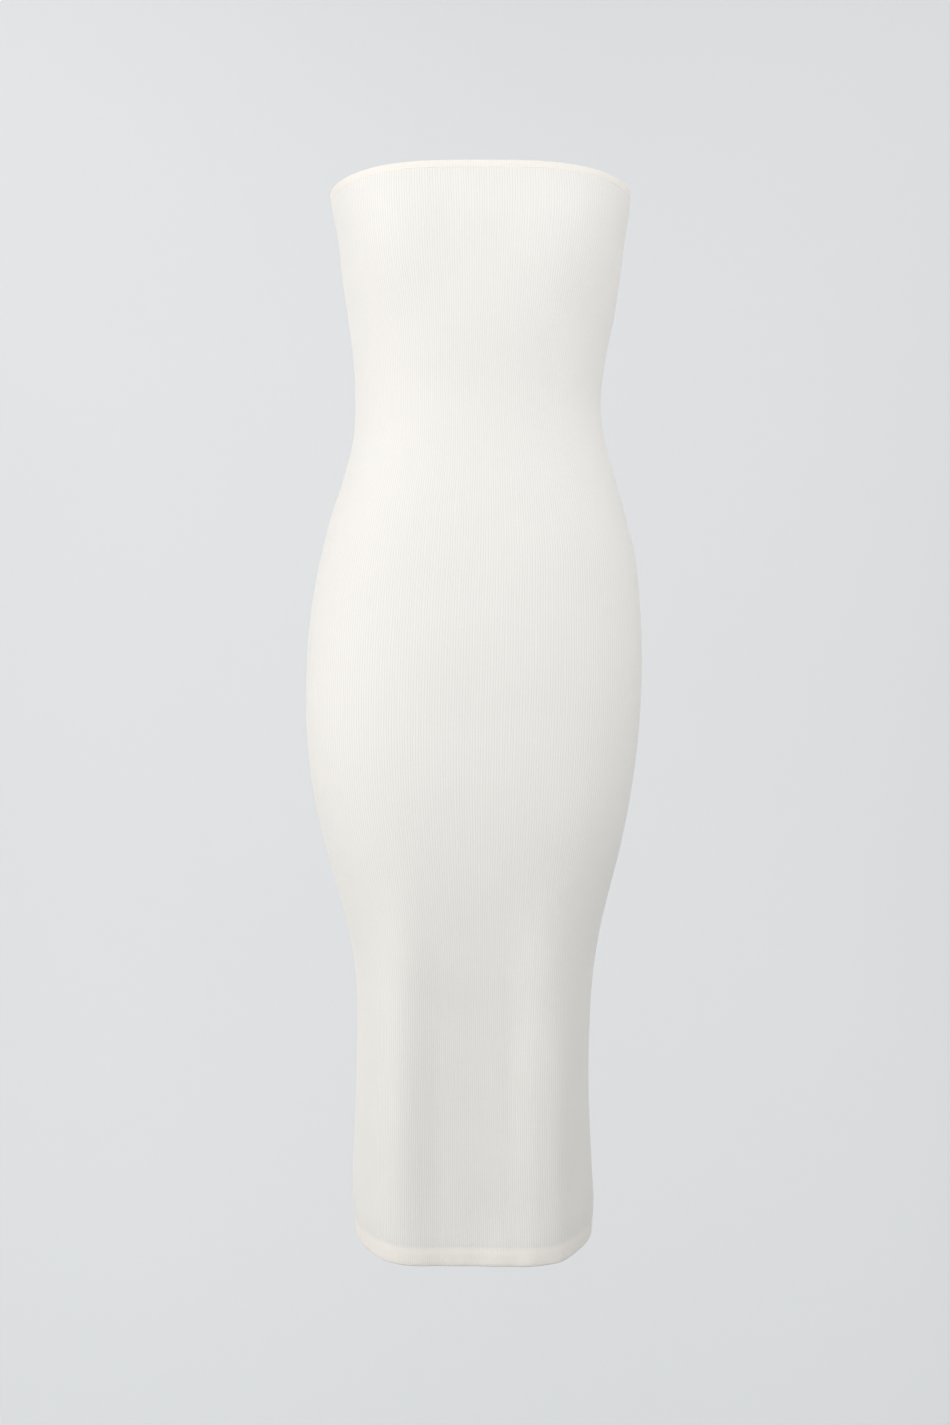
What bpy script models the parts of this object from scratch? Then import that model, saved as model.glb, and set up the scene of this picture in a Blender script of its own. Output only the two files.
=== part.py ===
"""Strapless midi dress of rib-knit jersey, filled out as when it is worn.

Metres, +Z up. The front faces -Y and +X is the viewer's right. The origin is the centre of the loop of the top
edge, which grips the chest, and the dress hangs down from it as a tube of cloth, open at the top and the hem.
"""

import math
from collections import namedtuple

import bmesh
import bpy
import numpy as np

MM = 0.001

# Cloth and seams
WALL = 1.4 * MM
SEAM_GAP = 0.3 * MM

# Top edge: level round the back, rising towards the middle of the front
TOP_RISE = 7.5 * MM
TOP_RISE_REACH = 160 * MM

# Top band: a narrow loop of doubled cloth, a little thicker than the panels that it sits on
BAND_HEIGHT = 7.5 * MM
BAND_PROUD = 0.35 * MM
BAND_CORNER = 0.8 * MM

# Hem: the last of each panel, turned up inside and sewn through along its upper edge
LENGTH = 1034 * MM
HEM_HEIGHT = 18 * MM
HEM_STEP = 1.2 * MM
HEM_DIP = {"front": 12 * MM, "back": 4 * MM}
HEM_DIP_REACH = 260 * MM
STITCH_GROOVE = 0.2 * MM
HEM_FULLNESS = 0.25 * MM
FOLD_ROUNDING = 0.8 * MM

# How finely the cloth is cut into faces
PANEL_COLUMNS = 28
PANEL_ROWS = 46
LEVEL_SAMPLES = 721

IVORY = (0.885, 0.862, 0.815, 1.0)
IVORY_BAND = (0.90, 0.87, 0.82, 1.0)
CLOTH_ROUGHNESS = 0.85

# One row for each level of the tube, in millimetres below the top edge. A level's outline is wide in X by
# half_width each way from shift, and deep in Y by front and back. The last two columns say how square each
# half is: 2 is an ellipse, and a higher number has a flatter middle and tighter corners.
Level = namedtuple("Level", "drop half_width shift front back front_square back_square")
LEVELS = [
    Level(0, 149.3, 0.0, 104, 100, 2.8, 2.4),
    Level(20, 147.3, 0.7, 106, 101, 2.9, 2.4),
    Level(43, 142.2, 1.2, 107, 102, 3.0, 2.4),
    Level(83, 137.4, 0.6, 103, 100, 2.9, 2.3),
    Level(123, 132.0, 0.5, 98, 95, 2.6, 2.3),
    Level(163, 125.5, -1.0, 93, 89, 2.4, 2.3),
    Level(208, 122.0, -2.5, 89, 84, 2.3, 2.3),
    Level(243, 125.0, -1.5, 90, 87, 2.3, 2.3),
    Level(283, 135.5, -1.0, 94, 95, 2.4, 2.3),
    Level(323, 147.5, -2.0, 98, 106, 2.5, 2.4),
    Level(363, 157.0, -2.5, 101, 116, 2.6, 2.5),
    Level(403, 162.7, -4.2, 102, 122, 2.7, 2.5),
    Level(443, 166.0, -5.5, 103, 126, 2.7, 2.5),
    Level(483, 167.0, -6.5, 103, 127, 2.8, 2.5),
    Level(523, 166.0, -7.5, 102, 124, 2.9, 2.6),
    Level(563, 162.5, -8.0, 101, 118, 3.0, 2.7),
    Level(603, 156.5, -8.0, 99, 109, 3.1, 2.8),
    Level(643, 148.0, -7.5, 96, 100, 3.1, 3.0),
    Level(683, 137.5, -7.0, 92, 92, 3.1, 3.2),
    Level(723, 127.0, -6.5, 88, 85, 3.1, 3.5),
    Level(763, 119.5, -6.0, 85, 80, 3.1, 3.7),
    Level(803, 116.0, -6.5, 82, 77, 3.1, 3.9),
    Level(883, 115.5, -8.0, 80, 74, 3.1, 4.0),
    Level(963, 118.5, -8.0, 80, 75, 3.1, 4.0),
    Level(1003, 119.5, -7.0, 80, 76, 3.3, 4.2),
    Level(1034, 116.5, -6.5, 80, 77, 3.4, 4.4),
]

# Soft swellings (out above zero) and hollows (out below zero) of the cloth, in millimetres. Each fades to
# nothing at its reach sideways, upwards and downwards.
Form = namedtuple("Form", "side x drop reach_x reach_up reach_down out")
FORMS = [
    Form("front", -87, 46, 68, 66, 105, 6.5),
    Form("front", 89, 46, 68, 66, 105, 6.5),
    Form("front", -77, 850, 40, 230, 620, 9.5),
    Form("front", 63, 850, 40, 230, 620, 10.5),
    Form("front", -8, 890, 74, 230, 210, -3.0),
    Form("back", -8, 880, 70, 240, 220, -2.0),
]


def level_at(drop):
    """The columns of LEVELS at this drop in metres, on a smooth curve through the rows, in metres."""
    wanted = drop / MM
    drops = [row.drop for row in LEVELS]
    low = min(max(np.searchsorted(drops, wanted) - 1, 0), len(LEVELS) - 2)

    def slope(i):
        before = LEVELS[max(i - 1, 0)]
        after = LEVELS[min(i + 1, len(LEVELS) - 1)]
        return (np.array(after) - np.array(before)) / (after.drop - before.drop)

    start, end = np.array(LEVELS[low]), np.array(LEVELS[low + 1])
    span = end[0] - start[0]
    t = (wanted - start[0]) / span
    blend = start * (1 + 2 * t) * (1 - t) ** 2 + end * t**2 * (3 - 2 * t)
    blend += span * (slope(low) * t * (1 - t) ** 2 - slope(low + 1) * t**2 * (1 - t))
    level = Level(*blend)
    return level._replace(**{name: getattr(level, name) * MM for name in Level._fields[:5]})


def fade(distance, reach):
    """1 at distance 0, and smoothly down to 0 at reach."""
    t = np.clip(np.abs(distance) / reach, 0, 1)
    return np.cos(t * math.pi / 2) ** 2


def level_outline(side, drop, gap):
    """Points evenly spaced along one panel's half of a level, from the right seam to the left seam, with half
    the gap left at each seam."""
    level = level_at(drop)
    depth, square = {
        "front": (-level.front, level.front_square),
        "back": (level.back, level.back_square),
    }[side]
    angle = np.linspace(0, math.pi, LEVEL_SAMPLES)
    cosine = np.cos(angle)
    x = level.shift + level.half_width * np.sign(cosine) * np.abs(cosine) ** (2 / square)
    y = depth * np.sin(angle)
    length = np.concatenate([[0], np.cumsum(np.hypot(np.diff(x), np.diff(y)))])
    stops = np.linspace(gap / 2, length[-1] - gap / 2, PANEL_COLUMNS + 1)
    towards_middle = np.clip(np.sin(np.interp(stops, length, angle)), 0, 1) ** 1.5
    z = -drop - HEM_DIP[side] * towards_middle * fade(LENGTH - drop, HEM_DIP_REACH)
    if side == "front":
        z = z + TOP_RISE * towards_middle * fade(drop, TOP_RISE_REACH)
    return np.stack([np.interp(stops, length, x), np.interp(stops, length, y), z], axis=1)


def outward_normals(points, side):
    """Unit normals of a grid of points, whose first and last columns end square to the side seams."""
    down = np.gradient(points, axis=0)
    across = np.gradient(points, axis=1)
    across[:, [0, -1]] = (0, 1, 0)
    normals = np.cross(across, down)
    normals /= np.linalg.norm(normals, axis=2, keepdims=True)
    outside = -1 if side == "front" else 1
    middle = points.shape[1] // 2
    normals *= np.sign(normals[:1, middle : middle + 1, 1:2]) * outside
    for column in (0, -1):
        normals[:, column] *= np.sign(normals[:, column, :1] * points[:, column, :1])
    return normals


def surface(side, drops, gap=SEAM_GAP):
    """The outer face of one panel: points and outward normals, a row for each drop."""
    points = np.array([level_outline(side, drop, gap) for drop in drops])
    normals = outward_normals(points, side)
    out = np.zeros(points.shape[:2])
    rows = np.asarray(drops)[:, None]
    for form in FORMS:
        if form.side != side:
            continue
        below = rows - form.drop * MM
        reach = np.where(below > 0, form.reach_down, form.reach_up) * MM
        out += form.out * MM * fade(points[..., 0] - form.x * MM, form.reach_x * MM) * fade(below, reach)
    points = points + normals * out[..., None]
    return points, outward_normals(points, side)


def material(name, color):
    made = bpy.data.materials.new(name)
    made.use_nodes = True
    shader = made.node_tree.nodes["Principled BSDF"]
    shader.inputs["Base Color"].default_value = color
    shader.inputs["Roughness"].default_value = CLOTH_ROUGHNESS
    shader.inputs["Metallic"].default_value = 0.0
    return made


def solid_from_loops(name, loops, closed, color):
    """One closed body through a row of closed loops. Each loop runs down its outer half and back up its inner
    half. An open row of loops gets a cap at each end."""
    mesh = bmesh.new()
    rings = [[mesh.verts.new(point) for point in loop] for loop in loops]
    count = len(rings[0])
    for i in range(len(rings) if closed else len(rings) - 1):
        here, there = rings[i], rings[(i + 1) % len(rings)]
        for j in range(count):
            k = (j + 1) % count
            mesh.faces.new((here[j], here[k], there[k], there[j]))
    for ring in () if closed else (rings[0], rings[-1]):
        for j in range(count // 2 - 1):
            mesh.faces.new((ring[j], ring[j + 1], ring[count - 2 - j], ring[count - 1 - j]))
    bmesh.ops.recalc_face_normals(mesh, faces=mesh.faces)
    if mesh.calc_volume(signed=True) < 0:
        bmesh.ops.reverse_faces(mesh, faces=mesh.faces)
    data = bpy.data.meshes.new(name)
    mesh.to_mesh(data)
    mesh.free()
    data.shade_smooth()
    data.set_sharp_from_angle(angle=math.radians(50))
    data.materials.append(material(name, color))
    made = bpy.data.objects.new(name, data)
    bpy.context.scene.collection.objects.link(made)
    return made


def panel_rows():
    """The drop of each row of a panel, how far its outer point stands out, and how thick its wall is."""
    top = BAND_HEIGHT + SEAM_GAP
    sewn = LENGTH - HEM_HEIGHT
    drops = list(np.linspace(top, sewn - 2 * HEM_STEP, PANEL_ROWS))
    rows = [(drop, 0.0, WALL) for drop in drops]
    rows += [
        (sewn - HEM_STEP / 2, -STITCH_GROOVE, WALL),
        (sewn + HEM_STEP / 2, -STITCH_GROOVE / 2, 2 * WALL),
        (sewn + HEM_HEIGHT / 3, HEM_FULLNESS, 2 * WALL),
        (LENGTH - HEM_HEIGHT / 3, HEM_FULLNESS, 2 * WALL),
        (LENGTH - FOLD_ROUNDING, 0.0, 2 * WALL),
        (LENGTH, -FOLD_ROUNDING, 2 * WALL - FOLD_ROUNDING),
    ]
    return rows


def make_panel(side):
    drops, proud, wall = (np.array(column) for column in zip(*panel_rows()))
    points, normals = surface(side, drops)
    outer = points + normals * proud[:, None, None]
    inner = points - normals * wall[:, None, None]
    loops = np.concatenate([outer, inner[::-1]]).transpose(1, 0, 2)
    return solid_from_loops(side, loops, closed=False, color=IVORY)


def make_top_band():
    """A closed loop above both panels' upper edges, with rounded corners."""
    drops = np.array([0, BAND_CORNER, BAND_HEIGHT - BAND_CORNER, BAND_HEIGHT])
    face = np.array([BAND_PROUD - BAND_CORNER, BAND_PROUD, BAND_PROUD, BAND_PROUD - BAND_CORNER])
    halves = []
    for side in ("front", "back"):
        points, normals = surface(side, drops, gap=0)
        outer = points + normals * face[:, None, None]
        inner = points - normals * (face + WALL)[:, None, None]
        half = np.concatenate([outer, inner[::-1]]).transpose(1, 0, 2)
        halves.append(half[:-1] if side == "front" else half[:0:-1])
    return solid_from_loops("top_band", np.concatenate(halves), closed=True, color=IVORY_BAND)


def main():
    for old in list(bpy.data.objects):
        bpy.data.objects.remove(old, do_unlink=True)
    make_panel("front")
    make_panel("back")
    make_top_band()


main()
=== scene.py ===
"""Looks of the strapless rib-knit dress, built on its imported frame.

Metres, in the frame's own space: +Z up, the front faces -Y and +X is the viewer's right. The origin is the
centre of the loop of the top edge. The cloth follows the same levels as the solids that it replaces.
"""

import math
from collections import namedtuple

import bpy
import numpy as np
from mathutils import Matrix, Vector


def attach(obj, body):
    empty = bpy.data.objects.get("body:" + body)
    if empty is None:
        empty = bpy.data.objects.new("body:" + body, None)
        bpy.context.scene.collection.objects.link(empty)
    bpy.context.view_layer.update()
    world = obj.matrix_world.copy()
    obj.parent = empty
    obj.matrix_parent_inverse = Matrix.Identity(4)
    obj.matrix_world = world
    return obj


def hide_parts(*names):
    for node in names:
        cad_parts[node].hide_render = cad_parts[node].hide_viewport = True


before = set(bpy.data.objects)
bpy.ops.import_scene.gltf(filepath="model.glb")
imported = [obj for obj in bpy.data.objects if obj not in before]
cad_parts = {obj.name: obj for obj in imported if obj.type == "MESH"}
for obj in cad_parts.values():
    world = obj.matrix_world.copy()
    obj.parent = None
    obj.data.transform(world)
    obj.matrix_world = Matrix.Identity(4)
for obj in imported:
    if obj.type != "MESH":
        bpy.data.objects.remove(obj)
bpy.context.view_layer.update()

MM = 0.001

# The cut, as in the part's source
WALL = 1.4 * MM
TOP_RISE = 7.5 * MM
TOP_RISE_REACH = 160 * MM
BAND_HEIGHT = 7.5 * MM
BAND_PROUD = 0.35 * MM
BAND_LAP = 0.6 * MM
BAND_RIBS = 0.6
LENGTH = 1034 * MM
HEM_HEIGHT = 18 * MM
HEM_SEWN = LENGTH - HEM_HEIGHT
HEM_DIP = {"front": 12 * MM, "back": 4 * MM}
HEM_DIP_REACH = 260 * MM
STITCH_GROOVE = 0.2 * MM
HEM_FULLNESS = 0.25 * MM
LEVEL_SAMPLES = 2401

# One row for each level of the tube, in millimetres below the top edge. A level's outline is wide in X by
# half_width each way from shift, and deep in Y by front and back. The last two columns say how square each
# half is: 2 is an ellipse, and a higher number has a flatter middle and tighter corners.
Level = namedtuple("Level", "drop half_width shift front back front_square back_square")
LEVELS = [
    Level(0, 149.3, 0.0, 104, 100, 2.8, 2.4),
    Level(20, 147.3, 0.7, 106, 101, 2.9, 2.4),
    Level(43, 142.2, 1.2, 107, 102, 3.0, 2.4),
    Level(83, 137.4, 0.6, 103, 100, 2.9, 2.3),
    Level(123, 132.0, 0.5, 98, 95, 2.6, 2.3),
    Level(163, 125.5, -1.0, 93, 89, 2.4, 2.3),
    Level(208, 122.0, -2.5, 89, 84, 2.3, 2.3),
    Level(243, 125.0, -1.5, 90, 87, 2.3, 2.3),
    Level(283, 135.5, -1.0, 94, 95, 2.4, 2.3),
    Level(323, 147.5, -2.0, 98, 106, 2.5, 2.4),
    Level(363, 157.0, -2.5, 101, 116, 2.6, 2.5),
    Level(403, 162.7, -4.2, 102, 122, 2.7, 2.5),
    Level(443, 166.0, -5.5, 103, 126, 2.7, 2.5),
    Level(483, 167.0, -6.5, 103, 127, 2.8, 2.5),
    Level(523, 166.0, -7.5, 102, 124, 2.9, 2.6),
    Level(563, 162.5, -8.0, 101, 118, 3.0, 2.7),
    Level(603, 156.5, -8.0, 99, 109, 3.1, 2.8),
    Level(643, 148.0, -7.5, 96, 100, 3.1, 3.0),
    Level(683, 137.5, -7.0, 92, 92, 3.1, 3.2),
    Level(723, 127.0, -6.5, 88, 85, 3.1, 3.5),
    Level(763, 119.5, -6.0, 85, 80, 3.1, 3.7),
    Level(803, 116.0, -6.5, 82, 77, 3.1, 3.9),
    Level(883, 115.5, -8.0, 80, 74, 3.1, 4.0),
    Level(963, 118.5, -8.0, 80, 75, 3.1, 4.0),
    Level(1003, 119.5, -7.0, 80, 76, 3.3, 4.2),
    Level(1034, 116.5, -6.5, 80, 77, 3.4, 4.4),
]

# Swellings (out above zero) and hollows (out below zero) of the cloth, in millimetres, each fading to nothing
# at its reach. The first six are the part's own. Then come the soft marks of the front's lower skirt, and the
# hem's small puckers.
Form = namedtuple("Form", "side x drop reach_x reach_up reach_down out")
FORMS = [
    Form("front", -87, 46, 68, 66, 105, 6.5),
    Form("front", 89, 46, 68, 66, 105, 6.5),
    Form("front", -77, 850, 40, 230, 620, 9.5),
    Form("front", 63, 850, 40, 230, 620, 10.5),
    Form("front", -8, 890, 74, 230, 210, -3.0),
    Form("back", -8, 880, 70, 240, 220, -2.0),
    Form("front", -6, 960, 62, 150, 200, 1.6),
    Form("front", 71, 900, 17, 150, 400, 1.7),
    Form("front", 34, 1000, 34, 190, 200, 2.2),
    Form("front", 24, 1030, 42, 60, 20, 2.4),
    Form("front", -52, 1030, 30, 60, 20, 1.8),
    Form("front", -54, 1028, 13, 24, 20, 0.5),
    Form("front", -22, 1028, 16, 30, 20, 0.7),
    Form("front", -4, 1030, 9, 16, 20, -0.4),
    Form("front", 14, 1028, 13, 20, 20, 0.5),
    Form("front", 33, 1030, 8, 14, 20, -0.5),
    Form("front", 45, 1027, 11, 22, 20, 0.6),
    Form("front", 62, 1030, 8, 16, 20, -0.5),
    Form("front", 74, 1028, 9, 18, 20, 0.4),
    Form("back", -72, 1029, 12, 20, 20, 0.5),
    Form("back", -47, 1030, 10, 15, 20, -0.4),
    Form("back", -25, 1027, 15, 26, 20, 0.6),
    Form("back", 18, 1029, 12, 18, 20, 0.5),
    Form("back", 40, 1030, 9, 15, 20, -0.5),
    Form("back", 60, 1028, 13, 24, 20, 0.5),
]

# Knit: ribs run down the cloth, the same number at every level, so they lie closer where the tube is narrow
RIBS = 170
RIB_PROFILE = (0.0, 0.8, 1.0, 0.8)
RIB_HEIGHT = 0.30 * MM
RIB_WANDER = 0.09
COURSE = 1.25 * MM
RIPPLE = 0.22 * MM
RIPPLE_PHASES = {"front": 1.0, "back": 4.0}

# Rows of the cloth's mesh
OUTER_ROWS = 84
INNER_ROWS = 34
SEAM_ROLL = 0.75 * MM
SEAM_ROLL_REACH = 3.2 * MM
FOLD_TURNS = [math.pi * step / 6 for step in range(7)]

# Seam allowances, pressed flat inside and overlocked along their free edge
ALLOWANCE = 7.0 * MM
ALLOWANCE_THICK = 1.6 * MM
ALLOWANCE_LAP = 1.2 * MM
ALLOWANCE_CORNER = 0.6 * MM
ALLOWANCE_RIB = 2.5 * MM

# Thread
THREAD = 0.16 * MM
THREAD_TAPER = 0.45
STITCH_ARCH = (-0.9, 0.5, 0.8, 0.5, -0.9)
STITCH_PITCH = 2.8 * MM
STITCH_LENGTH = 2.1 * MM
TWIN_GAP = 3.2 * MM
OVERLOCK_PITCH = 2.4 * MM
OVERLOCK_SWING = (0.0, 0.45, 1.0, 0.55)

# Colours. Doubled cloth shows a little warmer than single cloth.
# The furrow colours are painted shade: a darker ivory laid into the rib valleys, where shade falls between the
# ribs.
IVORY, FURROW_PAINTED_SHADE = (0.874, 0.852, 0.817, 1.0), (0.733, 0.708, 0.667, 1.0)
BAND_IVORY, BAND_FURROW_PAINTED_SHADE = (0.862, 0.835, 0.79, 1.0), (0.735, 0.705, 0.66, 1.0)
DOUBLED_WARMTH = 0.55
WARM_TONE = (0.89, 0.833, 0.768, 1.0)
SHEEN_TINT = (1.0, 0.98, 0.94, 1.0)
THREAD_PALE, THREAD_DARK = (0.86, 0.835, 0.78, 1.0), (0.70, 0.67, 0.61, 1.0)
PAPER_PALE, PAPER_DEEPER = (0.80, 0.806, 0.812, 1.0), (0.785, 0.791, 0.797, 1.0)
AIR = (0.97, 0.99, 1.0, 1.0)
AIR_STRENGTH = 0.4

# Sizes of the yarn's unevenness, as noise scales for each metre, and depths of the bump
FUZZ_SCALE, YARN_SCALE, CLOUD_SCALE = 2600.0, 420.0, 9.0
PLY_SCALE = 900.0
JERSEY_BUMP = 0.12 * MM
THREAD_BUMP = 0.05 * MM

# Studio
EYE = Vector((-0.0055, -1.9, -0.5155))
LENS = 48
SENSOR = 36
WARM, PLAIN, COOL = (1.0, 0.992, 0.985), (1.0, 1.0, 1.0), (0.985, 1.0, 1.015)
Lamp = namedtuple("Lamp", "name place aim size power color")
LAMPS = [
    Lamp("key", (-1.3, -1.5, 0.3), (0, 0, -0.3), (1.2, 1.2), 11.0, WARM),
    Lamp("fill", (1.3, -1.4, 0.3), (0, 0, -0.3), (1.2, 1.2), 10.7, COOL),
    Lamp("front", (0.3, -1.6, 0.2), (0, 0, -0.2), (1.4, 0.8), 7.1, PLAIN),
    Lamp("left_side", (-2.2, -0.4, -0.1), (0, 0, -0.4), (1.0, 1.6), 16.0, WARM),
    Lamp("right_side", (2.2, -0.4, 0.4), (0, 0, -0.3), (1.0, 1.4), 7.2, COOL),
    Lamp("left_low", (-1.8, -1.4, -1.0), (0, 0, -0.8), (1.0, 1.0), 8.0, WARM),
    Lamp("backdrop_left", (-1.8, 0.6, 1.4), (-1.2, 2.7, 0.8), (1.6, 1.6), 18.2, COOL),
    Lamp("backdrop_right", (1.8, 0.6, 1.4), (1.2, 2.7, 0.8), (1.6, 1.6), 13.2, COOL),
    Lamp("backdrop_low_left", (-1.8, 0.4, -1.9), (-1.2, 2.7, -2.1), (1.6, 0.8), 13.0, COOL),
    Lamp("backdrop_low_right", (1.8, 0.4, -1.9), (1.2, 2.7, -2.1), (1.6, 0.8), 10.0, COOL),
]

rng = np.random.default_rng(7)


def level_at(drop):
    """The columns of LEVELS at this drop in metres, on a smooth curve through the rows, in metres."""
    wanted = drop / MM
    drops = [row.drop for row in LEVELS]
    low = min(max(np.searchsorted(drops, wanted) - 1, 0), len(LEVELS) - 2)

    def slope(i):
        before = LEVELS[max(i - 1, 0)]
        after = LEVELS[min(i + 1, len(LEVELS) - 1)]
        return (np.array(after) - np.array(before)) / (after.drop - before.drop)

    start, end = np.array(LEVELS[low]), np.array(LEVELS[low + 1])
    span = end[0] - start[0]
    t = (wanted - start[0]) / span
    blend = start * (1 + 2 * t) * (1 - t) ** 2 + end * t**2 * (3 - 2 * t)
    blend += span * (slope(low) * t * (1 - t) ** 2 - slope(low + 1) * t**2 * (1 - t))
    level = Level(*blend)
    return level._replace(**{name: getattr(level, name) * MM for name in Level._fields[:5]})


def fade(distance, reach):
    """1 at distance 0, and smoothly down to 0 at reach."""
    t = np.clip(np.abs(distance) / reach, 0, 1)
    return np.cos(t * math.pi / 2) ** 2


def level_outline(side, drop, shares):
    """Points of one panel's half of a level, and its length. shares is how far each point lies on the way from
    the right seam to the left one."""
    level = level_at(drop)
    depth, square = {
        "front": (-level.front, level.front_square),
        "back": (level.back, level.back_square),
    }[side]
    angle = np.linspace(0, math.pi, LEVEL_SAMPLES)
    cosine = np.cos(angle)
    x = level.shift + level.half_width * np.sign(cosine) * np.abs(cosine) ** (2 / square)
    y = depth * np.sin(angle)
    length = np.concatenate([[0], np.cumsum(np.hypot(np.diff(x), np.diff(y)))])
    stops = shares * length[-1]
    towards_middle = np.clip(np.sin(np.interp(stops, length, angle)), 0, 1) ** 1.5
    z = -drop - HEM_DIP[side] * towards_middle * fade(LENGTH - drop, HEM_DIP_REACH)
    if side == "front":
        z = z + TOP_RISE * towards_middle * fade(drop, TOP_RISE_REACH)
    points = np.stack([np.interp(stops, length, x), np.interp(stops, length, y), z], axis=1)
    return points, length[-1]


def unit(vectors):
    """The same vectors, each one metre long."""
    return vectors / np.linalg.norm(vectors, axis=-1, keepdims=True)


def run_along(line):
    """How far along a line each of its points lies."""
    return np.concatenate([[0], np.cumsum(np.linalg.norm(np.diff(line, axis=0), axis=1))])


def at_places(places, own_places, line):
    """Points of a line at these places, where own_places are those of the points that it has."""
    return np.stack([np.interp(places, own_places, line[:, axis]) for axis in range(3)], axis=-1)


def outward_normals(points, side):
    """Unit normals of a grid of points, whose first and last columns end square to the side seams."""
    down = np.gradient(points, axis=0)
    across = np.gradient(points, axis=1)
    across[:, [0, -1]] = (0, 1, 0)
    normals = unit(np.cross(across, down))
    outside = -1 if side == "front" else 1
    middle = points.shape[1] // 2
    normals *= np.sign(normals[:1, middle : middle + 1, 1:2]) * outside
    for column in (0, -1):
        normals[:, column] *= np.sign(normals[:, column, :1] * points[:, column, :1])
    return normals


def surface(side, drops, shares):
    """The smooth outer face of one panel: points, outward normals and each row's length across. drops rises
    all the way."""
    rows = [level_outline(side, drop, shares) for drop in drops]
    points = np.array([row[0] for row in rows])
    widths = np.array([row[1] for row in rows])
    normals = outward_normals(points, side)
    out = np.zeros(points.shape[:2])
    levels = np.asarray(drops)[:, None]
    for form in FORMS:
        if form.side != side:
            continue
        below = levels - form.drop * MM
        reach = np.where(below > 0, form.reach_down, form.reach_up) * MM
        out += form.out * MM * fade(points[..., 0] - form.x * MM, form.reach_x * MM) * fade(below, reach)
    points = points + normals * out[..., None]
    return points, outward_normals(points, side), widths


def ripple(shares, drops, phase):
    """Slight unevenness of worn cloth, from a few long waves that cross each other."""
    across, down = np.meshgrid(shares * 0.42, drops)
    waves = (
        np.sin(across * 61 + down * 13 + phase)
        + np.sin(across * -37 + down * 47 + 2.1 * phase)
        + np.sin(across * 23 + down * 71 - phase)
    )
    return RIPPLE * waves / 3


def rib_shares():
    """Where each column of the mesh lies across the panel before the ribs wander, and how high its rib is."""
    count = len(RIB_PROFILE)
    shares = np.linspace(0, 1, RIBS * count + 1)
    heights = np.array([RIB_PROFILE[i % count] for i in range(len(shares))])
    return shares, heights


def wandered(shares, drop, phases):
    """The shares at one level, with every rib a little off its place, as in real knit."""
    rib = shares * RIBS
    at = np.arange(RIBS + 1)
    drift = RIB_WANDER * (np.sin(drop * 29 + phases) + 0.6 * np.sin(drop * 83 + 2.7 * phases))
    drift *= np.sin(np.pi * at / RIBS) ** 0.25
    return shares + np.interp(rib, at, drift) / RIBS


def knit_places(rib, drop, doubled, shape):
    """What the jersey's material reads at each point: the rib's number, the course's number, the doubling."""
    return np.stack([np.broadcast_to(part, shape) for part in (rib, drop / COURSE, doubled)], axis=-1)


def new_object(name, points, faces, material, knit=None):
    """A smooth-shaded mesh object from arrays. faces is a list of arrays, one for each number of corners."""
    points = np.asarray(points, np.float32).reshape(-1, 3)
    loops = np.concatenate([part.ravel() for part in faces]).astype(np.int32)
    sizes = np.concatenate([np.full(len(part), part.shape[1]) for part in faces]).astype(np.int32)
    mesh = bpy.data.meshes.new(name)
    mesh.vertices.add(len(points))
    mesh.vertices.foreach_set("co", points.ravel())
    mesh.loops.add(len(loops))
    mesh.loops.foreach_set("vertex_index", loops)
    mesh.polygons.add(len(sizes))
    starts = np.concatenate([[0], np.cumsum(sizes)[:-1]]).astype(np.int32)
    mesh.polygons.foreach_set("loop_start", starts)
    mesh.update(calc_edges=True)
    mesh.validate()
    if knit is not None:
        layer = mesh.attributes.new("knit", "FLOAT_VECTOR", "POINT")
        layer.data.foreach_set("vector", np.asarray(knit, np.float32).ravel())
    mesh.shade_smooth()
    mesh.materials.append(material)
    made = bpy.data.objects.new(name, mesh)
    bpy.context.scene.collection.objects.link(made)
    return made


def grid_faces(rows, columns, wrap_rows=False, wrap_columns=False, flip=False):
    """Quads of a grid of rows x columns points."""
    index = np.arange(rows * columns).reshape(rows, columns)
    if wrap_rows:
        index = np.vstack([index, index[:1]])
    if wrap_columns:
        index = np.hstack([index, index[:, :1]])
    corners = [index[:-1, :-1], index[1:, :-1], index[1:, 1:], index[:-1, 1:]]
    quads = np.stack(corners, axis=-1).reshape(-1, 4)
    return quads[:, ::-1] if flip else quads


def end_faces(stations, around):
    """The two faces that close a tube of stations rings of points."""
    ring_places = np.arange(around)
    return np.array([ring_places, (stations - 1) * around + ring_places[::-1]])


def zipped(first, second, first_places, second_places, flip):
    """Triangles between two chains of points that run side by side."""
    faces, i, j = [], 0, 0
    while i < len(first) - 1 or j < len(second) - 1:
        second_done = j == len(second) - 1
        if second_done or (i < len(first) - 1 and first_places[i + 1] <= second_places[j + 1]):
            faces.append((first[i], first[i + 1], second[j]))
            i += 1
        else:
            faces.append((first[i], second[j + 1], second[j]))
            j += 1
    faces = np.array(faces)
    return faces[:, ::-1] if flip else faces


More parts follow.
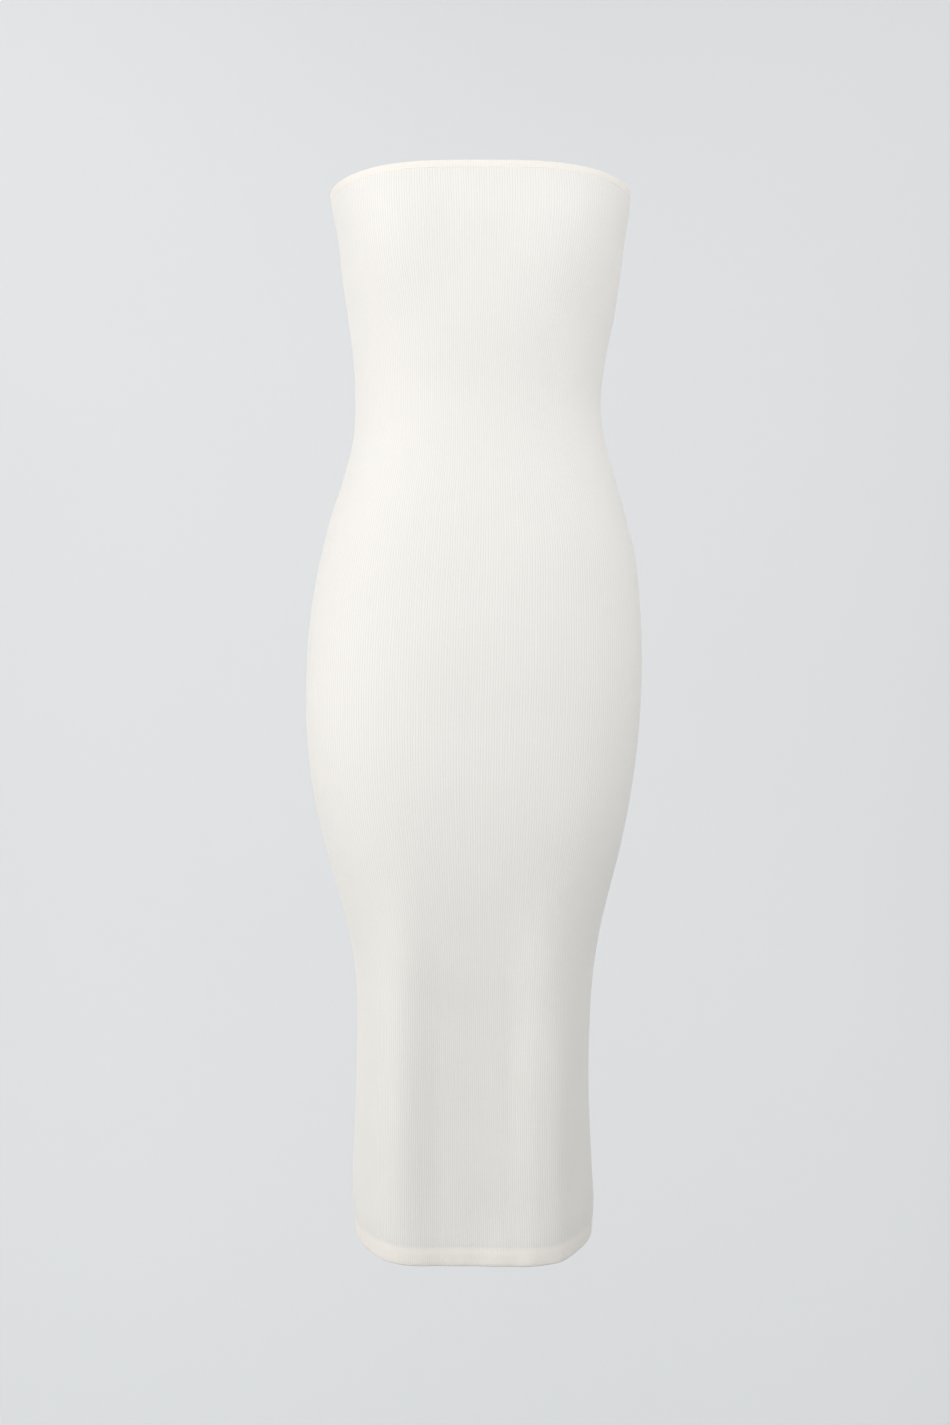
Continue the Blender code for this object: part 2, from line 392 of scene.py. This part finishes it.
def wall_rows():
    """The wall from its top edge down the outside, round the hem's fold, and up the inside. Four arrays: each
    row's drop, how far it lies inside the outer face, how strongly the ribs show (below zero they stand
    inwards), and how far the cloth is doubled."""
    top = BAND_HEIGHT - BAND_LAP
    sewn = HEM_SEWN
    fold = WALL
    rows = [(top, 0.4 * MM, 0.2, 0), (BAND_HEIGHT, 0.12 * MM, 0.6, 0)]
    rows += [(drop, 0, 1, 0) for drop in np.linspace(top + 1.8 * MM, sewn - 5 * MM, OUTER_ROWS)]
    rows += [
        (sewn - 3.0 * MM, 0.05 * MM, 0.97, 0),
        (sewn - TWIN_GAP / 3, STITCH_GROOVE, 0.75, 0.2),
        (sewn + TWIN_GAP / 3, STITCH_GROOVE, 0.75, 0.6),
        (sewn + 3.0 * MM, 0, 0.95, 1),
    ]
    rows += [(drop, -HEM_FULLNESS, 1, 1) for drop in np.linspace(sewn + 6 * MM, LENGTH - 2.4 * fold, 5)]
    for turn in FOLD_TURNS:
        low, deep = fold * math.sin(turn), fold * math.cos(turn)
        rows.append((LENGTH - fold + low, fold - deep, math.cos(turn), 1))
    rows += [(drop, 2 * WALL, -1, 1) for drop in np.linspace(LENGTH - 3 * fold, sewn + 2 * MM, 4)]
    rows += [(sewn + 0.6 * MM, 1.8 * WALL, -0.8, 1), (sewn, 1.1 * WALL, -0.7, 0.3)]
    rows += [(drop, WALL, -0.7, 0) for drop in np.linspace(sewn - 2 * MM, top + 1 * MM, INNER_ROWS)]
    rows += [(top, 0.85 * WALL, -0.3, 0)]
    return [np.array(column, float) for column in zip(*rows)]


def make_panel(side, material):
    """One panel as a closed shell, ribbed on both faces, with its hem turned up inside."""
    drops, inset, ribbing, doubled = wall_rows()
    shares, heights = rib_shares()
    phases = rng.uniform(0, 2 * math.pi, RIBS + 1)
    levels, place = np.unique(np.round(drops, 7), return_inverse=True)
    points, normals, widths = surface(side, levels, shares)
    for row, level in enumerate(levels):
        moved = wandered(shares, level, phases)
        points[row] = at_places(moved, shares, points[row])
        normals[row] = at_places(moved, shares, normals[row])
    normals = unit(normals)
    uneven = ripple(shares, levels, RIPPLE_PHASES[side]) * np.sin(np.pi * shares) ** 0.5
    points += normals * uneven[..., None]
    points, normals, widths = points[place], normals[place], widths[place]
    pitch = widths / RIBS
    height = RIB_HEIGHT * (np.mean(pitch) / pitch) ** 0.7
    edge = np.minimum(shares, 1 - shares)[None, :] * widths[:, None]
    roll = SEAM_ROLL * np.clip(1 - edge / SEAM_ROLL_REACH, 0, 1) ** 2
    outside = np.clip(ribbing, 0, 1)[:, None]
    deep = inset[:, None] - (ribbing * height)[:, None] * heights[None, :] + roll * outside
    points = points - normals * deep[..., None]
    rows, columns = points.shape[:2]
    knit = knit_places(shares * RIBS, drops[:, None], doubled[:, None], (rows, columns))
    flip = side == "back"
    lowest = int(np.argmax(drops))
    faces = [grid_faces(rows, columns, wrap_rows=True, flip=flip)]
    index = np.arange(rows * columns).reshape(rows, columns)
    outer, inner = np.arange(lowest + 1), np.arange(lowest, rows)[::-1]
    for column, turned in ((0, flip), (columns - 1, not flip)):
        first, second = index[outer, column], index[inner, column]
        faces.append(zipped(first, second, drops[outer], drops[inner], turned))
    return new_object(f"{side}_cloth", points, faces, material, knit)


def ring(drops, columns):
    """Both panels' smooth outer face as one closed row of points at each drop, from the right seam round by
    the front. Points and outward normals."""
    shares = np.linspace(0, 1, columns + 1)
    front = surface("front", drops, shares)
    back = surface("back", drops, shares)
    points = np.concatenate([front[0][:, :-1], back[0][:, :0:-1]], axis=1)
    normals = np.concatenate([front[1][:, :-1], back[1][:, :0:-1]], axis=1)
    return points, normals


def make_band(material):
    """The narrow loop round the top edge: doubled cloth with a rounded fold, ribbed, a little thicker than
    the panels."""
    thick = WALL + 2 * BAND_PROUD
    fold = thick / 2
    rows = [(BAND_HEIGHT + 0.2 * MM, BAND_PROUD + 0.1 * MM), (BAND_HEIGHT - 0.2 * MM, 0.16 * MM)]
    rows += [(BAND_HEIGHT - 0.8 * MM, 0.03 * MM), (BAND_HEIGHT - 1.6 * MM, 0.06 * MM)]
    rows += [(BAND_HEIGHT - 2.2 * MM, 0.16 * MM), (BAND_HEIGHT - 2.8 * MM, 0.06 * MM)]
    rows += [(drop, 0.0) for drop in (BAND_HEIGHT - 3.8 * MM, fold + 1.2 * MM)]
    rows += [(fold - fold * math.sin(turn), fold - fold * math.cos(turn)) for turn in FOLD_TURNS]
    rows += [(drop, thick) for drop in (fold + 1.5 * MM, BAND_HEIGHT / 2, BAND_HEIGHT - 0.8 * MM)]
    rows += [(BAND_HEIGHT, thick - 0.5 * MM)]
    drops, inset = (np.array(column, float) for column in zip(*rows))
    levels, place = np.unique(np.round(drops, 7), return_inverse=True)
    count = len(RIB_PROFILE)
    points, normals = ring(levels, RIBS * count)
    points, normals = points[place], normals[place]
    columns = points.shape[1]
    heights = np.array([RIB_PROFILE[i % count] for i in range(columns)])
    lean = np.cos(np.clip(inset / thick, 0, 1) * math.pi)
    deep = inset[:, None] - BAND_PROUD - BAND_RIBS * RIB_HEIGHT * lean[:, None] * heights[None, :]
    points = points - normals * deep[..., None]
    knit = knit_places(np.arange(columns) / count, drops[:, None], 1.0, points.shape[:2])
    faces = [grid_faces(len(drops), columns, wrap_rows=True, wrap_columns=True, flip=True)]
    return new_object("top_band_cloth", points, faces, material, knit)


def tube(centres, sides_out, radius, around=6, taper=True):
    """Points and faces of many short tubes. centres is tubes x stations x 3, and sides_out is the way that is
    up from the cloth at each station."""
    along = unit(np.gradient(centres, axis=1))
    beside = unit(np.cross(along, sides_out))
    up = np.cross(beside, along)
    stations = centres.shape[1]
    thick = np.full(stations, radius)
    if taper:
        thick[[0, -1]] *= THREAD_TAPER
    turn = (np.arange(around) * 2 * math.pi / around)[:, None]
    offset = beside[:, :, None] * np.cos(turn) + up[:, :, None] * np.sin(turn)
    points = centres[:, :, None] + offset * thick[None, :, None, None]
    each = grid_faces(stations, around, wrap_columns=True)
    ends = end_faces(stations, around)
    start = (np.arange(len(centres)) * stations * around)[:, None, None]
    return points, [(each[None] + start).reshape(-1, 4), (ends[None] + start).reshape(-1, around)]


def stitches(name, path, outward, material, pitch=STITCH_PITCH, length=STITCH_LENGTH):
    """A row of separate stitches along a closed path, each an arched thread that dips into the cloth at both
    ends."""
    path = np.vstack([path, path[:1]])
    outward = np.vstack([outward, outward[:1]])
    run = run_along(path)
    count = int(run[-1] / pitch)
    middles = (np.arange(count) + 0.5) * run[-1] / count
    stations = np.linspace(-0.5, 0.5, len(STITCH_ARCH))
    at = middles[:, None] + stations[None, :] * length
    up = at_places(at, run, outward)
    arch = np.array(STITCH_ARCH) * THREAD
    centres = at_places(at, run, path) + up * arch[None, :, None]
    points, faces = tube(centres, up, THREAD)
    return new_object(name, points, faces, material)


def zigzag(name, low, high, outward, material):
    """One thread that crosses to and fro between two edges of a seam allowance, as overlocking does. low and
    high are the edges' points and run side by side."""
    run = run_along(low)
    count = int(run[-1] / OVERLOCK_PITCH)
    steps = len(OVERLOCK_SWING)
    at = np.linspace(0, run[-1], steps * count + 1)
    share = np.array(OVERLOCK_SWING)[np.arange(len(at)) % steps][:, None]
    near, far, up = (at_places(at, run, edge) for edge in (low, high, outward))
    centres = near * (1 - share) + far * share + up * THREAD * 0.7
    points, faces = tube(centres[None], up[None], THREAD * 0.9, around=5, taper=False)
    return new_object(name, points, faces, material)


def make_side_allowance(name, column, material, thread):
    """A side seam's allowances, pressed together towards the back inside the dress, with overlocking along
    the free edge. column is 0 at the right seam and 1 at the left one. profile has, for each point round the
    allowances, how far it lies behind the seam and its share of their thickness."""
    drops = np.linspace(BAND_HEIGHT + 1.5 * MM, HEM_SEWN - 1.0 * MM, 120)
    corner = ALLOWANCE_CORNER
    profile = [(-ALLOWANCE_LAP, 0.1), (ALLOWANCE - corner, 0.1), (ALLOWANCE, 0.5), (ALLOWANCE - corner, 1)]
    profile += [(ALLOWANCE * 0.4, 1), (-ALLOWANCE_LAP + corner, 0.9), (-ALLOWANCE_LAP - corner / 2, 0.5)]
    fine = np.linspace(0, 1, 801)
    back = surface("back", drops, fine)
    front = surface("front", drops, fine)
    rows = []
    for away, depth in profile:
        points, normals, widths = back if away >= 0 else front
        share = np.abs(away) / widths
        share = share if column == 0 else 1 - share
        place = np.array([at_places(s, fine, row) for s, row in zip(share, points)])
        way = unit(np.array([at_places(s, fine, row) for s, row in zip(share, normals)]))
        inside = WALL + 0.28 * MM + depth * ALLOWANCE_THICK
        rows.append((place - way * inside, -way))
    points = np.array([row[0] for row in rows]).transpose(1, 0, 2)
    count, around = points.shape[:2]
    across = np.array([away for away, _ in profile])
    knit = knit_places(across / ALLOWANCE_RIB, drops[:, None], 1.0, (count, around))
    flip = column == 1
    ends = end_faces(count, around)
    faces = [grid_faces(count, around, wrap_columns=True, flip=flip), ends[:, ::-1] if flip else ends]
    made = new_object(name, points, faces, material, knit)
    overlock = zigzag(f"{name}_overlock", rows[4][0], rows[2][0], rows[4][1], thread)
    return made, overlock


def make_band_allowance(material, thread):
    """The allowance of the seam under the top band, pressed down inside, with overlocking along its lower
    edge. profile has, for each point round the allowance, its drop and its share of the thickness."""
    top, low, corner = BAND_HEIGHT - 1.0 * MM, BAND_HEIGHT + 6.0 * MM, 0.5 * MM
    profile = [(top, 0.0), (low - corner, 0.0), (low, 0.5), (low - corner, 1.0)]
    profile += [(top + 1 * MM, 1.0), (top, 0.5)]
    drops = np.array([drop for drop, _ in profile])
    levels = np.unique(drops)
    points, normals = ring(levels, 180)
    rows, ways = [], []
    for drop, depth in profile:
        i = int(np.searchsorted(levels, drop))
        inside = WALL + BAND_PROUD + 0.35 * MM + depth * 1.1 * MM
        rows.append(points[i] - normals[i] * inside)
        ways.append(-normals[i])
    grid = np.array(rows)
    columns = grid.shape[1]
    knit = knit_places(np.arange(columns) * 2 * RIBS / columns, drops[:, None], 1.0, grid.shape[:2])
    faces = [grid_faces(len(profile), columns, wrap_rows=True, wrap_columns=True)]
    made = new_object("band_allowance", grid, faces, material, knit)
    closed = [np.vstack([part, part[:1]]) for part in (rows[4], rows[2], ways[4])]
    overlock = zigzag("band_allowance_overlock", closed[0], closed[1], closed[2], thread)
    return made, overlock


def make_hem_stitches(thread):
    """Twin-needle stitching round the hem: two rows outside."""
    made = []
    for name, drop in (("upper", HEM_SEWN - TWIN_GAP / 2), ("lower", HEM_SEWN + TWIN_GAP / 2)):
        points, normals = ring([drop - 1 * MM, drop, drop + 1 * MM], 500)
        seat = points[1] + normals[1] * (RIB_HEIGHT * 0.45 - 0.05 * MM)
        made.append(stitches(f"hem_stitches_{name}", seat, normals[1], thread))
    return made


def make_band_stitches(thread):
    """One row of stitches along the lower edge of the top band."""
    drop = BAND_HEIGHT - 2.2 * MM
    points, normals = ring([drop - 0.5 * MM, drop, drop + 0.5 * MM], 500)
    seat = points[1] + normals[1] * (BAND_PROUD - 0.08 * MM)
    return stitches("band_stitches", seat, normals[1], thread, pitch=2.6 * MM, length=1.9 * MM)


class Nodes:
    """Small helper that adds shader nodes and links to one material."""

    def __init__(self, name):
        self.material = bpy.data.materials.new(name)
        self.material.use_nodes = True
        self.tree = self.material.node_tree
        self.shader = self.tree.nodes["Principled BSDF"]

    def add(self, kind, **settings):
        node = self.tree.nodes.new(kind)
        for key, value in settings.items():
            setattr(node, key, value)
        return node

    def put(self, value, socket):
        if isinstance(value, bpy.types.NodeSocket):
            self.tree.links.new(value, socket)
        else:
            socket.default_value = value

    def math(self, operation, *values, clamp=False):
        node = self.add("ShaderNodeMath", operation=operation, use_clamp=clamp)
        for value, socket in zip(values, node.inputs):
            self.put(value, socket)
        return node.outputs[0]

    def noise(self, scale, detail=3.0, roughness=0.5):
        place = self.add("ShaderNodeTexCoord").outputs["Object"]
        node = self.add("ShaderNodeTexNoise")
        self.put(place, node.inputs["Vector"])
        self.put(scale, node.inputs["Scale"])
        self.put(detail, node.inputs["Detail"])
        self.put(roughness, node.inputs["Roughness"])
        return node.outputs["Fac"]

    def mix(self, share, first, second):
        node = self.add("ShaderNodeMix", data_type="RGBA")
        self.put(share, node.inputs["Factor"])
        self.put(first, node.inputs["A"])
        self.put(second, node.inputs["B"])
        return node.outputs["Result"]

    def bump(self, height, strength, distance):
        node = self.add("ShaderNodeBump")
        node.inputs["Strength"].default_value = strength
        node.inputs["Distance"].default_value = distance
        self.put(height, node.inputs["Height"])
        self.put(node.outputs[0], self.shader.inputs["Normal"])


def jersey_material(name, color, valley_shade_color):
    """Rib jersey: small V stitches up the crest of each rib, painted shade in the furrows between them, fine
    fuzz and slight unevenness of the yarn. The knit attribute holds what knit_places gives."""
    nodes = Nodes(name)
    knit = nodes.add("ShaderNodeAttribute", attribute_name="knit").outputs["Vector"]
    split = nodes.add("ShaderNodeSeparateXYZ")
    nodes.put(knit, split.inputs[0])
    rib, course, doubled = split.outputs
    across = nodes.math("SUBTRACT", nodes.math("FRACT", rib), 0.5)
    aside = nodes.math("MULTIPLY", nodes.math("ABSOLUTE", across), 2.0)
    leg = nodes.math("ADD", course, nodes.math("MULTIPLY", aside, -0.8))
    wave = nodes.math("SINE", nodes.math("MULTIPLY", leg, 2 * math.pi))
    crest = nodes.math("SUBTRACT", 1.0, nodes.math("POWER", aside, 2.5), clamp=True)
    stitch = nodes.math("MULTIPLY", nodes.math("MULTIPLY_ADD", wave, 0.5, 0.5), crest)
    stitch = nodes.math("ADD", stitch, nodes.math("MULTIPLY", crest, 0.9))
    middle = nodes.math("SUBTRACT", 1.0, nodes.math("MULTIPLY", aside, 5.0), clamp=True)
    stitch = nodes.math("SUBTRACT", stitch, nodes.math("MULTIPLY", middle, 0.5))
    fuzz = nodes.noise(FUZZ_SCALE, 2.0, 0.6)
    nodes.bump(nodes.math("ADD", stitch, nodes.math("MULTIPLY", fuzz, 0.7)), 0.45, JERSEY_BUMP)

    yarn = nodes.noise(YARN_SCALE, 3.0, 0.6)
    cloud = nodes.noise(CLOUD_SCALE, 2.0, 0.5)
    # Painted shade: the rib valleys are darkened in colour, where shade falls between the ribs. The yarn and
    # cloud noise are the yarn's own uneven tone.
    painted_furrow_shade = nodes.math("POWER", aside, 3.0)
    shade = nodes.math("MULTIPLY", painted_furrow_shade, 0.8)
    shade = nodes.math("ADD", shade, nodes.math("MULTIPLY", yarn, 0.25))
    shade = nodes.math("ADD", shade, nodes.math("MULTIPLY", cloud, 0.25))
    shade = nodes.math("SUBTRACT", shade, nodes.math("MULTIPLY", doubled, 0.12), clamp=True)
    single = nodes.mix(shade, color, valley_shade_color)
    tone = nodes.mix(nodes.math("MULTIPLY", doubled, DOUBLED_WARMTH), single, WARM_TONE)
    nodes.put(tone, nodes.shader.inputs["Base Color"])
    nodes.put(nodes.math("MULTIPLY_ADD", yarn, 0.16, 0.76), nodes.shader.inputs["Roughness"])
    nodes.shader.inputs["Specular IOR Level"].default_value = 0.25
    nodes.shader.inputs["Sheen Weight"].default_value = 0.18
    nodes.shader.inputs["Sheen Roughness"].default_value = 0.45
    nodes.shader.inputs["Sheen Tint"].default_value = SHEEN_TINT
    return nodes.material


def thread_material(name, color, dark):
    """Sewing thread: plied, so fine dark lines wind along it."""
    nodes = Nodes(name)
    place = nodes.add("ShaderNodeTexCoord").outputs["Object"]
    wave = nodes.add("ShaderNodeTexWave", wave_type="BANDS", bands_direction="DIAGONAL")
    nodes.put(place, wave.inputs["Vector"])
    wave.inputs["Scale"].default_value = PLY_SCALE
    wave.inputs["Distortion"].default_value = 1.5
    ply = wave.outputs["Fac"]
    tone = nodes.mix(nodes.math("MULTIPLY", ply, 0.5), color, dark)
    nodes.put(tone, nodes.shader.inputs["Base Color"])
    nodes.bump(ply, 0.5, THREAD_BUMP)
    nodes.shader.inputs["Roughness"].default_value = 0.55
    return nodes.material


def sweep_material():
    """Pale matt paper, very slightly uneven."""
    nodes = Nodes("studio_paper")
    cloud = nodes.noise(1.1, 2.0, 0.5)
    nodes.put(nodes.mix(cloud, PAPER_PALE, PAPER_DEEPER), nodes.shader.inputs["Base Color"])
    nodes.shader.inputs["Roughness"].default_value = 0.95
    nodes.shader.inputs["Specular IOR Level"].default_value = 0.1
    return nodes.material


def make_sweep():
    """A pale floor that curves up into a backdrop, both plain. The dress is held up well above the floor."""
    floor, wall, top, radius, half, front = -3.4, 2.7, 3.2, 1.2, 9.0, -9.0
    profile = [(front, floor)]
    for step in range(25):
        turn = math.pi / 2 * step / 24
        away, up = radius * math.sin(turn), radius * math.cos(turn)
        profile.append((wall - radius + away, floor + radius - up))
    profile.append((wall, top))
    points = np.array([[(x, y, z) for x in (-half, half)] for y, z in profile])
    return new_object("studio_sweep", points, [grid_faces(len(profile), 2, flip=True)], sweep_material())


def softbox(lamp):
    """A soft rectangular lamp, from one row of LAMPS."""
    light = bpy.data.lights.new(lamp.name, "AREA")
    light.shape = "RECTANGLE"
    light.size, light.size_y = lamp.size
    light.energy = lamp.power
    light.color = lamp.color
    made = bpy.data.objects.new(lamp.name, light)
    made.location = lamp.place
    made.visible_camera = False
    made.rotation_euler = (Vector(lamp.aim) - Vector(lamp.place)).to_track_quat("-Z", "Y").to_euler()
    bpy.context.scene.collection.objects.link(made)


def make_studio():
    """The air's own light, the sweep, the lamps and the camera."""
    scene = bpy.context.scene
    scene.view_settings.view_transform = "Standard"
    world = bpy.data.worlds.new("studio_air")
    world.use_nodes = True
    background = world.node_tree.nodes["Background"]
    background.inputs["Color"].default_value = AIR
    background.inputs["Strength"].default_value = AIR_STRENGTH
    scene.world = world
    make_sweep()
    for lamp in LAMPS:
        softbox(lamp)
    camera = bpy.data.cameras.new("photo_camera")
    camera.lens = LENS
    camera.sensor_width = SENSOR
    camera.sensor_fit = "AUTO"
    camera.clip_end = 50
    made = bpy.data.objects.new("photo_camera", camera)
    made.location = EYE
    made.rotation_euler = (math.pi / 2, 0.0, 0.0)
    scene.collection.objects.link(made)
    scene.camera = made


def main():
    jersey = jersey_material("rib_jersey", IVORY, FURROW_PAINTED_SHADE)
    band_jersey = jersey_material("band_jersey", BAND_IVORY, BAND_FURROW_PAINTED_SHADE)
    thread = thread_material("sewing_thread", THREAD_PALE, THREAD_DARK)

    front = make_panel("front", jersey)
    back = make_panel("back", jersey)
    band = make_band(band_jersey)
    right_allowance, right_overlock = make_side_allowance("right_seam", 0, jersey, thread)
    left_allowance, left_overlock = make_side_allowance("left_seam", 1, jersey, thread)
    band_allowance, band_overlock = make_band_allowance(jersey, thread)
    hem_rows = make_hem_stitches(thread)
    band_row = make_band_stitches(thread)

    jersey_pieces = [front, back, right_allowance, left_allowance, band_allowance]
    sewing = [right_overlock, left_overlock, band_overlock, band_row, *hem_rows]
    for piece in [*jersey_pieces, band, *sewing]:
        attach(piece, "root")
    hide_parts("front")
    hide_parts("back")
    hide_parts("top_band")
    make_studio()


main()
